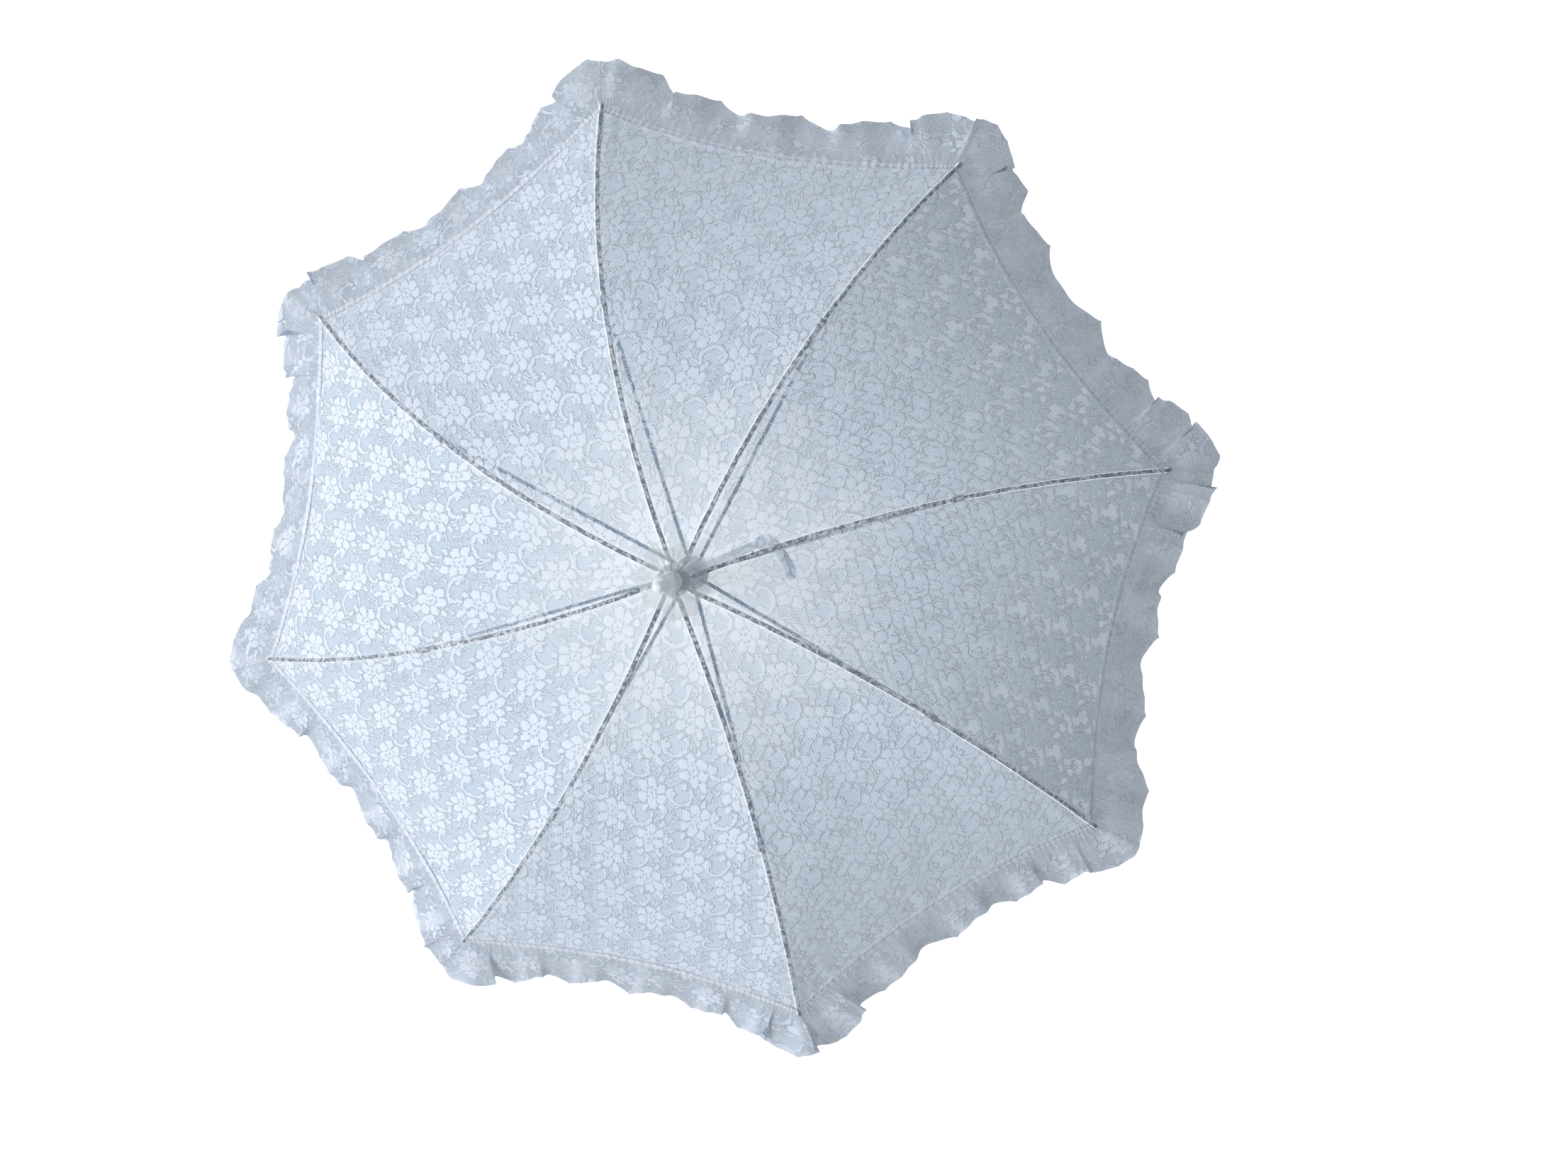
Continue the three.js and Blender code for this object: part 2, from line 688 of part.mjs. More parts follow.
function handleCollar() {
  return turned(
    [
      [SOCKET_R, COLLAR_BOTTOM_Z + GAP],
      [COLLAR_R, COLLAR_BOTTOM_Z + GAP],
      [COLLAR_R, COLLAR_TOP_Z - 2],
      [COLLAR_R - 1.2, COLLAR_TOP_Z],
      [SOCKET_R, COLLAR_TOP_Z],
    ],
    28,
  );
}

// The crook's centre line: x, z, the direction's angle from straight down, and the radius there.
function crookStations() {
  const stations = [
    [0, COLLAR_BOTTOM_Z, 0, GRIP_TOP_R],
    [0, 0, 0, GRIP_MAX_R],
    [0, GRIP_BOTTOM_Z, 0, GRIP_MAX_R],
  ];
  const steps = 12;
  for (let i = 1; i <= steps; i++) {
    const turn = (Math.PI * i) / steps;
    const x = CROOK_R * (1 - Math.cos(turn));
    const z = GRIP_BOTTOM_Z - CROOK_R * Math.sin(turn);
    stations.push([x, z, turn, GRIP_MAX_R + ((CROOK_END_R - GRIP_MAX_R) * i) / steps]);
  }
  const endZ = GRIP_BOTTOM_Z + CROOK_TAIL;
  for (let i = 0; i <= 3; i++) {
    const angle = (Math.PI / 2) * (i / 3.4);
    const rise = CROOK_END_R * Math.sin(angle);
    stations.push([2 * CROOK_R, endZ + rise, Math.PI, CROOK_END_R * Math.cos(angle)]);
  }
  return stations;
}

function crookHandle() {
  const sides = 20;
  const rings = crookStations().map(([x, z, turn, radius]) => {
    const points = [];
    for (let j = 0; j < sides; j++) {
      const angle = (2 * Math.PI * j) / sides;
      const side = radius * Math.cos(angle);
      points.push(
        new THREE.Vector3(x + side * Math.cos(turn), radius * Math.sin(angle), z + side * Math.sin(turn)),
      );
    }
    return points;
  });
  const depth = COLLAR_BOTTOM_Z - SHAFT_BOTTOM_Z + 1;
  const socket = new THREE.CylinderGeometry(SOCKET_R, SOCKET_R, depth + 4, 32).rotateX(Math.PI / 2);
  return cut(loft(rings), socket.translate(0, 0, COLLAR_BOTTOM_Z - depth / 2 + 2));
}

function runner() {
  const bottom = RUNNER_Z - RUNNER_SLEEVE_DROP;
  const headBottom = RUNNER_Z - RUNNER_HEAD_HALF;
  const headTop = RUNNER_Z + RUNNER_HEAD_HALF;
  const body = turned(
    [
      [RUNNER_BORE_R, bottom],
      [RUNNER_SLEEVE_R, bottom],
      [RUNNER_SLEEVE_R, headBottom],
      [RUNNER_HEAD_R - 0.6, headBottom],
      [RUNNER_HEAD_R, headBottom + 0.6],
      [RUNNER_HEAD_R, headTop - 0.6],
      [RUNNER_HEAD_R - 0.6, headTop],
      [RUNNER_BORE_R, headTop],
    ],
    32,
  );
  const windowZ = RUNNER_Z - WINDOW_TOP_DROP - WINDOW_HEIGHT / 2;
  const window = box(RUNNER_SLEEVE_R * 2, WINDOW_WIDTH, WINDOW_HEIGHT, RUNNER_SLEEVE_R, 0, windowZ);
  const through = slots(RUNNER_SLOT_INNER_R, RUNNER_HEAD_R + 1, headBottom - 1, headTop + 1);
  return cut(body, window, ring(RUNNER_PIVOT_R, EYE_R, RUNNER_Z), ...through);
}

// ---- the assembly ----
const parasol = new THREE.Group();

function add(name, geometry, piece) {
  const shown = geometry.index ? geometry.toNonIndexed() : geometry;
  shown.computeVertexNormals();
  const mesh = new THREE.Mesh(shown, piece);
  mesh.name = name;
  parasol.add(mesh);
}

function addRibPiece(name, geometry, rib, piece) {
  add(`${name}_${rib}`, geometry.clone().rotateZ(ribAzimuth(rib)).translate(0, 0, CROWN_Z), piece);
}

add("shaft", shaft(), WHITE_STEEL);
add("ferrule_cap", ferruleCap(), WHITE_PLASTIC);
add("rosette", rosette(), SHEER);
add("crown", crown(), NOTCH_PLASTIC);
add("crown_wire", ring(RIB_PIVOT_R, WIRE_R, CROWN_Z), BRIGHT_STEEL);
add("stop_pin", stopPin(), BRIGHT_STEEL);
add("handle_collar", handleCollar(), BRIGHT_STEEL);
add("crook_handle", crookHandle(), WHITE_PLASTIC);
add("runner", runner(), NOTCH_PLASTIC);
add("runner_wire", ring(RUNNER_PIVOT_R, WIRE_R, RUNNER_Z), BRIGHT_STEEL);
add("top_catch", catchSpring(topCatchZ, -1), SPRING_STEEL);
add("bottom_catch", catchSpring(bottomCatchZ, 1), SPRING_STEEL);

const ribShape = rib();
const tipShape = ribTip();
const clipShape = ribClip();
const stretcherShape = stretcher();
for (let k = 1; k <= RIBS; k++) {
  addRibPiece("rib", ribShape, k, WHITE_STEEL);
  addRibPiece("rib_tip", tipShape, k, DARK_STEEL);
  addRibPiece("rib_clip", clipShape, k, DARK_STEEL);
  addRibPiece("stretcher", stretcherShape, k, WHITE_STEEL);
  add(`gore_${k}`, gore(k), LACE);
  add(`ruffle_${k}`, ruffle(k), RUFFLE_LACE);
}

export default parasol;
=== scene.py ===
"""A white lace parasol, held open and seen from above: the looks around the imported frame."""

import json
import math

import bpy
import numpy as np
from mathutils import Matrix, Vector


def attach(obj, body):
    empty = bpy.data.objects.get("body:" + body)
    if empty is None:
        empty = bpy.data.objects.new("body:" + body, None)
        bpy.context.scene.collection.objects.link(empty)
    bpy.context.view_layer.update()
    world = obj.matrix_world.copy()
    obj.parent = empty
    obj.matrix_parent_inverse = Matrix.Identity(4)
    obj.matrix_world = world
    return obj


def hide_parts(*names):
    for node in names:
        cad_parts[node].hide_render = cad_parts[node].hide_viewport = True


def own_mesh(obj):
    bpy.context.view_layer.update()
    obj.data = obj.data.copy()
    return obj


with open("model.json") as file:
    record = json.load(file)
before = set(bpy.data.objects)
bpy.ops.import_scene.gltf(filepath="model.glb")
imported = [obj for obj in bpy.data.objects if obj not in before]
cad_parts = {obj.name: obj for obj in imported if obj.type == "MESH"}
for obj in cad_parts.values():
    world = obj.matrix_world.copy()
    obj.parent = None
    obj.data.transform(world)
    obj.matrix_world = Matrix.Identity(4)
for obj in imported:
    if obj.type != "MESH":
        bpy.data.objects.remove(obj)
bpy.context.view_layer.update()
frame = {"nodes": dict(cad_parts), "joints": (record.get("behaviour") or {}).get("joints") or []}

MM = 0.001
RIBS = 8
STEP = 2 * math.pi / RIBS
RIB_NUMBERS = range(1, RIBS + 1)

# The canopy's driving dimensions, in millimetres, as the CAD's cloth has them.
RIB_JOINT = next(j for j in frame["joints"] if j["name"] == "rib_1_hinge")
PIVOT_R = math.hypot(*RIB_JOINT["pos_m"][:2]) / MM
CROWN_Z = RIB_JOINT["pos_m"][2] / MM
TIP_R = 350.0
DOME_DROP = 119.7
DOME_LINEAR = 0.22
DOME_POWER = 2.45
SIDE_BOW = 0.038 * TIP_R
BOW_START_R = 12.0
CLOTH_START_R = 5.4
CLOTH_LIFT = 1.1
CROWN_LIFT = 4.4
CROWN_LIFT_REACH = 17.0
HEM_CURVE = 0.045
CLOTH_SAG = 0.02

# The lace cloth.
LACE_ROWS = 170
LACE_COLUMNS = 108
RIB_CROWDING = 0.5  # how much closer the columns lie beside a rib
RELIEF = 0.35  # how far the motif stands up from the net
HEM_WIDTH = 4.6
HEM_RISE = 0.5
SEAM_HALF = 1.9  # the turned-in seam over each rib
SEAM_RISE = 0.35
MOTIF_CLEAR = 2.0  # the motif's relief fades out this near to a seam or the hem
DENT_DEPTH = 0.7
CREASE_DEPTH = 0.35
CREASE_START = 0.72  # of the way from the shaft to the hem
CREASES_PER_GORE = 17

# The lace's motif: a six-petalled flower with leaves, an open loop, a pair of arcs, and cords between them.
REPEAT = 40.0  # from flower to flower
ROW_CROWDING = 1.16  # the rows of flowers lie closer than that
CUT_TILT = math.radians(6)  # each gore is cut from the lace at its own tilt and place
CUT_SHIFT_X = 0.37 * REPEAT
CUT_SHIFT_Y = 0.61 * REPEAT
PETALS = 6
PETAL_REACH = 9.2
PETAL_SIZE = 4.3
PETAL_LINE_HALF = 0.3
PETAL_LINE_START = 6.2
PETAL_LINE_END = 8.6
FLOWER_CORE_R = 7.4
FLOWER_EYE_R = 1.1
EYELETS = 8
EYELET_REACH = 4.6
EYELET_R = 1.0
LEAF_REACH = 15.2
LEAF_SIZE = 2.3
LEAF_SIZE_CHANGE = 0.9  # the leaves on one side are bigger
LEAF_BIG_SIDE = 0.9
LEAF_STRETCH = 1.6
LOOP_R = 8.6
LOOP_HALF = 1.6
LOOP_GAP_AT = 5.2
LOOP_HOLE_R = 6.4
LOOP_FLATNESS = 0.8
ARC_R = 9.5
ARC_DROP = 5.0  # from their own middle to the circle's
ARC_APART = 1.5
ARC_HALF = 0.65
ARC_REACH = 6.5
BUD_DROP = 4.5
BUD_R = 1.8
CORD_SWAY = 3.4
CORD_APART = 1.3
CORD_HALF = 0.95
STEM_SWAY = 2.6
STEM_HALF = 0.7
STEM_CLEAR = 9.0  # a stem stops this far from its row of flowers
CORD_CLEAR = 1.2  # cords stop this far from a flower or a loop
NET_PITCH = 2.1
NET_THREAD = 0.3
COARSE_PITCH = 5.2
COARSE_THREAD = 0.7
WARP = 2.2  # how far the whole pattern is drawn out of true, in long waves
SMALL_WARP = 0.9
# The half width of the lines of painted shade along the motif's edges, and how far out from a cord they lie.
SHADE_LINE_HALF = 0.25
CORD_SHADE_LINE_OUT = 0.2
PETAL_LINE_DEPTH = 0.6
EDGE_BLUR = 0.5
FINE_BLUR = 0.4

# The gathered ruffle.
RUFFLE_WIDTH = 45.0
RUFFLE_SLOPE = math.radians(38)
RUFFLE_START = 0.9
RUFFLE_HEADING = 3.6  # how far it is lapped over the hem
RUFFLE_FULLNESS = 1.45
RUFFLE_WAVES = 6  # per gore
RUFFLE_ROWS = 30
RUFFLE_COLUMNS = 280
FAN_EXTRA = math.radians(13)  # how far the strip turns past square to the hem, beside a rib's end
TIP_SLOPE = math.radians(26)  # the ruffle stands out flatter at a rib's end
TIP_FLARE_SHARE = 0.2  # of the way to the next rib
FAN_SHARE = 0.2  # of half a gore, in which it swings round the rib's end
RUFFLE_POINT = 1.12  # the strip's width at a point of its free edge, as a share
RUFFLE_HOLLOW = 0.38  # how much narrower it is in the hollows between them
TIP_WIDENING = 0.03  # how much wider it is at a rib's end
TIP_WINDOW = 0.6  # the cloth is thin over a rib's end, this much narrower than it is long
GATHER_POWER = 1.5  # more of the strip is gathered at the ribs' ends
RUFFLE_CUT = 0.21 * REPEAT  # how far into the lace's repeat the strip is cut
FOLD_HEIGHT = 4.4
FOLD_LEAN = 8.5  # how far the folds lean over along the hem
PUCKER_HEIGHT = 0.22  # the fine gathers at the seam
GATHERS_PER_FOLD = 9
RUFFLE_LIFT = 1.0  # above the canopy's cloth

# The sheer patch on top.
ROSETTE_HOLE_R = 4.7
ROSETTE_R = 25.0
ROSETTE_ROWS = 26
ROSETTE_SIDES = 160
ROSETTE_LIFT = 2.1  # above the canopy's cloth
PLEATS = 13
PLEAT_HEIGHT = 0.45
CREASES = 29
CREASE_HEIGHT = 0.3

# How the cloth looks.
# Painted shade: the nets' blue-grey stands for the shade seen through the holes of white net.
CANOPY_NET_WITH_SHADE = (0.42, 0.53, 0.67)
RUFFLE_NET_WITH_SHADE = (0.31, 0.38, 0.49)
MOTIF_WHITE = (0.82, 0.87, 0.98)
# Painted shade: the dark grey of the lines along the motif's edges and of the greying near the shaft.
PAINTED_SHADE_GREY = (0.22, 0.24, 0.29)
HEM_WHITE = (0.84, 0.87, 0.96)
CANOPY_COVER = 0.735  # how much of what is behind the plain net it hides
RUFFLE_COVER = 0.77
HUB_COVER_LOSS = 0.15  # the net is stretched more open near the shaft
HUB_MOTIF_LOSS = 0.46  # and so is the motif
HUB_MOTIF_FADE = 0.75  # which is fainter against the net there
HUB_PAINTED_SHADE = 0.2  # painted shade: the cloth's colour is also mixed a little towards grey there
THREAD_COVER = 0.12
PATCH_COVER = 0.15  # between the thinner and the thicker patches of net
MOTIF_COVER = 0.97
SEAM_COVER = 0.16  # the cloth is thin over a rib, which shows through it
TURNED_MIDDLE = 1.2  # the turned-in cloth, from the edge of the seam
TURNED_HALF = 0.9
BAND_BLUR = 0.8
THREAD_STRAY = 1.5  # how far threads stray from the pattern's lines

# The room, the lights and the camera.
FLOOR_Z = -0.95
FLOOR_SIZE = 60
FLOOR_GLOW = 0.76
ROOM_WHITE = (0.97, 0.985, 1.0)
ROOM_SHADE = (0.11, 0.15, 0.18)  # the dim bluish light that the room sends into the shadows
VIEW_AZIMUTH = math.radians(183.35)
VIEW_ELEVATION = math.radians(82.44)
VIEW_ROLL = math.radians(-127.83)
VIEW_DISTANCE = 0.9958
VIEW_AIM = Vector((0.045, 0.0601, CROWN_Z * MM))
LENS = 33.99
KEY_RISE = 0.74  # the key light comes from the picture's left and this share above
KEY_LOWER = 0.12
KEY_DISTANCE = 5.0
KEY_SIZE = 2.2
KEY_POWER = 208
FILL_DISTANCE = 0.9
FILL_SIZE = 0.5
FILL_POWER = 1.75


# ---- the canopy's form ----
def rib_azimuth(rib):
    return STEP / 2 + (rib - 1) * STEP


def dome_height(radius):
    share = (radius - PIVOT_R) / (TIP_R - PIVOT_R)
    curved = np.maximum(share, 0) ** DOME_POWER
    return -DOME_DROP * (DOME_LINEAR * share + (1 - DOME_LINEAR) * curved)


def side_bow(radius):
    share = np.maximum(radius - BOW_START_R, 0) / (TIP_R - BOW_START_R)
    return SIDE_BOW * 4 * share * (1 - share)


def cloth_lift(radius):
    """How far the middle of the cloth lies above the ribs, which is more over the crown."""
    return CLOTH_LIFT + CROWN_LIFT * np.exp(-((radius / CROWN_LIFT_REACH) ** 4))


def over_rib(radius, rib):
    """The cloth's own middle surface over a rib, in millimetres."""
    height = CROWN_Z + dome_height(radius) + cloth_lift(radius)
    bow = side_bow(radius)
    c = math.cos(rib_azimuth(rib))
    s = math.sin(rib_azimuth(rib))
    return np.stack([radius * c - bow * s, radius * s + bow * c, height], -1)


def cloth_point(rib, radius, share):
    """A point of the cloth between a rib, share 0, and the next one round, share 1."""
    start = over_rib(radius, rib)
    end = over_rib(radius, rib + 1)
    bulge = 4 * share * (1 - share)
    chord = np.linalg.norm(end - start, axis=-1)
    point = start + (end - start) * share[..., None]
    point[..., 2] -= CLOTH_SAG * chord * bulge
    return point


def hem_radius(share):
    return TIP_R * (1 - HEM_CURVE * 4 * share * (1 - share))


def sector_point(rib, radius, turn):
    """A point of the cloth round one rib. turn is -0.5 to 0.5 of the way between ribs."""
    before = cloth_point(rib - 1, radius, 1 + turn)
    after = cloth_point(rib, radius, turn)
    return np.where((turn < 0)[..., None], before, after)


def chord_at(radius):
    return 2 * radius * math.sin(STEP / 2)


def length_to(radius):
    """How far along the middle of a gore the cloth has run from the shaft, in millimetres."""
    stations = np.linspace(0, TIP_R, 400)
    points = cloth_point(1, stations, np.full_like(stations, 0.5))
    steps = np.linalg.norm(np.diff(points, axis=0), axis=-1)
    return np.interp(radius, stations, np.concatenate([[0], np.cumsum(steps)]))


# ---- one set of formulas for meshes and for materials ----
class Wire:
    """A number on its way through a material, which can be added and multiplied."""

    def __init__(self, formula, socket):
        self.formula = formula
        self.socket = socket

    def __add__(self, other):
        return self.formula.node("ADD", self, other)

    def __sub__(self, other):
        return self.formula.node("SUBTRACT", self, other)

    def __rsub__(self, other):
        return self.formula.node("SUBTRACT", other, self)

    def __mul__(self, other):
        return self.formula.node("MULTIPLY", self, other)

    def __truediv__(self, other):
        return self.formula.node("DIVIDE", self, other)

    def __neg__(self):
        return self.formula.node("MULTIPLY", self, -1.0)

    __radd__ = __add__
    __rmul__ = __mul__


class Formula:
    """numpy's function names as Math nodes, so that one formula serves a mesh and a material."""

    def __init__(self, tree):
        self.tree = tree

    def feed(self, socket, value):
        if isinstance(value, Wire):
            self.tree.links.new(value.socket, socket)
        else:
            socket.default_value = value

    def node(self, operation, *values):
        made = self.tree.nodes.new("ShaderNodeMath")
        made.operation = operation
        for socket, value in zip(made.inputs, values):
            self.feed(socket, value)
        return Wire(self, made.outputs[0])

    def sqrt(self, a):
        return self.node("SQRT", a)

    def abs(self, a):
        return self.node("ABSOLUTE", a)

    def sin(self, a):
        return self.node("SINE", a)

    def cos(self, a):
        return self.node("COSINE", a)

    def arctan2(self, y, x):
        return self.node("ARCTAN2", y, x)

    def mod(self, a, b):
        return self.node("FLOORED_MODULO", a, b)

    def minimum(self, a, b):
        return self.node("MINIMUM", a, b)

    def maximum(self, a, b):
        return self.node("MAXIMUM", a, b)

    def less(self, a, b):
        return self.node("LESS_THAN", a, b)


def held(m, value):
    """The value, held between 0 and 1."""
    return m.minimum(m.maximum(value, 0.0), 1.0)


def filled(m, distance, soft=EDGE_BLUR):
    """1 inside an outline and 0 outside it, from the distance to it in millimetres."""
    return held(m, 0.5 - distance / soft)


def nearest(m, x, y, dx, dy):
    """The offset of x, y from the nearest point of the flower lattice shifted by dx, dy."""
    wide = REPEAT
    high = REPEAT * math.sqrt(3)
    xa = m.mod(x - dx + wide / 2, wide) - wide / 2
    ya = m.mod(y - dy + high / 2, high) - high / 2
    xb = m.mod(x - dx, wide) - wide / 2
    yb = m.mod(y - dy, high) - high / 2
    near = m.less(xa * xa + ya * ya, xb * xb + yb * yb)
    return xb + near * (xa - xb), yb + near * (ya - yb)


def fan(m, angle, count, turn=0.0):
    """The angle from the middle of the nearest of count equal slices of a circle."""
    step = 2 * math.pi / count
    return m.mod(angle + (turn + step / 2), step) - step / 2


def blobs(m, radius, slice_angle, reach, size, length=1.0):
    """Distance to an oval in each slice: reach out from the middle, size wide, length times as long."""
    along = (radius * m.cos(slice_angle) - reach) / length
    across = radius * m.sin(slice_angle)
    return m.sqrt(along * along + across * across) - size


def flower(m, x, y):
    """Distances to a flower's petals, leaves, eyelets and petal lines."""
    radius = m.sqrt(x * x + y * y)
    angle = m.arctan2(y, x)
    slice_angle = fan(m, angle, PETALS)
    petals = m.minimum(blobs(m, radius, slice_angle, PETAL_REACH, PETAL_SIZE), radius - FLOWER_CORE_R)
    eyelets = blobs(m, radius, fan(m, angle, EYELETS), EYELET_REACH, EYELET_R)
    eyelets = m.minimum(eyelets, radius - FLOWER_EYE_R)
    between = radius * m.sin(math.pi / PETALS - m.abs(slice_angle))
    ends = m.maximum(PETAL_LINE_START - radius, radius - PETAL_LINE_END)
    lines = m.maximum(between - PETAL_LINE_HALF, ends)
    leaf_angle = fan(m, angle, PETALS, math.pi / PETALS)
    leaf_size = LEAF_SIZE + LEAF_SIZE_CHANGE * m.cos(angle - LEAF_BIG_SIDE)
    leaves = blobs(m, radius, leaf_angle, LEAF_REACH, 0.0, LEAF_STRETCH) - leaf_size
    return petals, leaves, eyelets, lines


def open_loop(m, x, y):
    """Distance to an open loop of thick cord and to the round opening in it."""
    radius = m.sqrt(x * x + y * y * LOOP_FLATNESS)
    ring = m.maximum(m.abs(radius - LOOP_R) - LOOP_HALF, -LOOP_GAP_AT - x)
    return ring, radius - LOOP_HOLE_R


def arcs(m, x, y):
    """Distance to a pair of thin arcs and a small bud."""
    radius = m.sqrt(x * x + (y + ARC_DROP) * (y + ARC_DROP))
    thin = m.abs(m.abs(radius - ARC_R) - ARC_APART) - ARC_HALF
    thin = m.maximum(thin, m.abs(x) - ARC_REACH)
    thin = m.maximum(thin, -y)
    bud = m.sqrt(x * x * 0.5 + (y + BUD_DROP) * (y + BUD_DROP)) - BUD_R
    return m.minimum(thin, bud)


def links(m, x, y):
    """Distance to the wavy cords that run from flower to flower, and to thin stems across them."""
    high = REPEAT * math.sqrt(3) / 2
    across_turns = 2 * math.pi / REPEAT
    along_turns = 2 * math.pi / high
    row = m.mod(y + high / 2, high) - high / 2
    wave = CORD_SWAY * m.sin(x * (2 * across_turns) + 0.6)
    cords = m.abs(m.abs(row - wave) - CORD_APART) - CORD_HALF
    column = m.mod(x, REPEAT / 2) - REPEAT / 4
    stems = m.abs(column - STEM_SWAY * m.sin(y * along_turns) - 1.5) * 0.8 - STEM_HALF
    return m.minimum(cords * 0.7, m.maximum(stems, STEM_CLEAR - m.abs(row)))


def lace(m, x, y):
    """The lace at x, y millimetres on the cloth: solid motif, cords, and the lines of painted shade along
    their edges, each 0 to 1.
    """
    warped_x = x + WARP * m.sin(y * 0.061 + 0.4) + SMALL_WARP * m.sin(y * 0.193 + x * 0.05)
    warped_y = y * ROW_CROWDING + WARP * m.sin(x * 0.057 + 1.9) + SMALL_WARP * m.sin(x * 0.171 + 0.7)
    middle = REPEAT / math.sqrt(3)
    petals, leaves, eyelets, lines = flower(m, *nearest(m, warped_x, warped_y, 0.0, 0.0))
    loop, opening = open_loop(m, *nearest(m, warped_x, warped_y, 0.0, middle))
    thin_arcs = arcs(m, *nearest(m, warped_x, warped_y, 0.0, -middle))
    solid = m.minimum(petals, leaves)
    away = CORD_CLEAR - m.minimum(opening, solid)
    cords = m.minimum(m.minimum(loop, thin_arcs), m.maximum(links(m, warped_x, warped_y), away))
    edge = m.minimum(m.abs(m.minimum(solid, loop)), m.abs(cords - CORD_SHADE_LINE_OUT))
    whole = filled(m, solid) * (1.0 - filled(m, eyelets))
    return {
        "solid": whole * (1.0 - PETAL_LINE_DEPTH * filled(m, lines, FINE_BLUR)),
        "cords": filled(m, cords),
        "outline": filled(m, edge - SHADE_LINE_HALF, FINE_BLUR),
    }


def net(m, x, y, pitch, thread):
    """1 on the threads of a net of triangles and 0 in its cells."""
    lean = math.sqrt(3) / 2
    p = x * lean + y * 0.5
    q = y * 0.5 - x * lean
    lines = [m.abs(m.mod(a, pitch) - pitch / 2) for a in (p, q, y * 1.0)]
    return filled(m, m.minimum(m.minimum(lines[0], lines[1]), lines[2]) - thread / 2, FINE_BLUR)


# ---- meshes ----
def sheet_mesh(name, points, looped=False):
    """A smooth sheet through a grid of points in millimetres, shape (rows, columns, 3)."""
    rows, columns = points.shape[:2]
    index = np.arange(rows * columns).reshape(rows, columns)
    after = np.roll(index, -1, axis=1) if looped else index[:, 1:]
    here = index if looped else index[:, :-1]
    quads = np.stack([here[:-1], here[1:], after[1:], after[:-1]], -1).reshape(-1, 4)
    mesh = bpy.data.meshes.new(name)
    mesh.from_pydata((points.reshape(-1, 3) * MM).tolist(), [], quads.tolist())
    mesh.polygons.foreach_set("use_smooth", np.ones(len(quads), bool))
    mesh.update()
    made = bpy.data.objects.new(name, mesh)
    bpy.context.scene.collection.objects.link(made)
    return made, quads


def write_cloth_map(piece, corners):
    """Stores the cloth's own coordinates, in millimetres, at each face corner."""
    layer = piece.data.uv_layers.new(name="cloth")
    layer.uv.foreach_set("vector", corners.astype(np.float32).ravel())


def write_edges(piece, from_rib, from_hem, bunched_and_highlit):
    """Stores each point's distance from the rib's line and the hem, and how bunched the cloth is, which also
    sets where a highlight is painted.
    """
    values = np.stack([from_rib, from_hem, bunched_and_highlit], -1).astype(np.float32)
    layer = piece.data.attributes.new("edges", "FLOAT_VECTOR", "POINT")
    layer.data.foreach_set("vector", values.ravel())


def finish_soft(piece, rib, material, node):
    """What every cloth piece round a rib shares: its finish, its body and its node."""
    piece.data.materials.append(material)
    body = f"rib_{rib}"
    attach(piece, body)
    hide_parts(node)
    azimuth = rib_azimuth(rib)
    across = Vector((-math.sin(azimuth), math.cos(azimuth), 0))
    anchor = across * (SIDE_BOW / 2 * MM) + Vector((0, 0, CROWN_Z * MM))
    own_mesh(piece)


def gore_map(gore, lateral, along):
    """Where a point of one gore lies on the lace it was cut from, in millimetres."""
    tilt = CUT_TILT * math.sin(2.4 * gore)
    x = along * math.cos(tilt) - lateral * math.sin(tilt)
    y = along * math.sin(tilt) + lateral * math.cos(tilt)
    return x + CUT_SHIFT_X * gore, y + CUT_SHIFT_Y * gore


def hem_creases(phase, radius):
    """The creases that run in from the hem's gathers, -1 to 1."""
    near_hem = np.clip((radius / TIP_R - CREASE_START) / (1 - CREASE_START), 0, 1) ** 2
    angle = 2 * math.pi * phase
    return near_hem * np.sin(CREASES_PER_GORE * angle + 2.0 * np.sin(3 * angle))


def canopy_ripple(phase, radius):
    """Slack in the cloth: soft dents, and the creases at the hem."""
    angle = 2 * math.pi * phase
    dents = np.sin(angle * 3 / 8 + radius / 31) * np.sin(angle * 2 + radius / 47)
    return DENT_DEPTH * dents * radius / TIP_R + CREASE_DEPTH * hem_creases(phase, radius)


def lace_relief(place, from_rib, from_hem):
    """How far motif, seam and hem stand up from the net, in millimetres."""
    drawn = lace(np, *place)
    beside_seam = np.abs(from_rib) - SEAM_HALF
    inside_hem = from_hem - HEM_WIDTH
    clear = np.clip(beside_seam / MOTIF_CLEAR, 0, 1) * np.clip(inside_hem / MOTIF_CLEAR, 0, 1)
    motif = RELIEF * np.maximum(drawn["solid"], drawn["cords"]) * clear
    return motif + SEAM_RISE * filled(np, beside_seam, 0.6) + HEM_RISE * filled(np, inside_hem, 1.0)


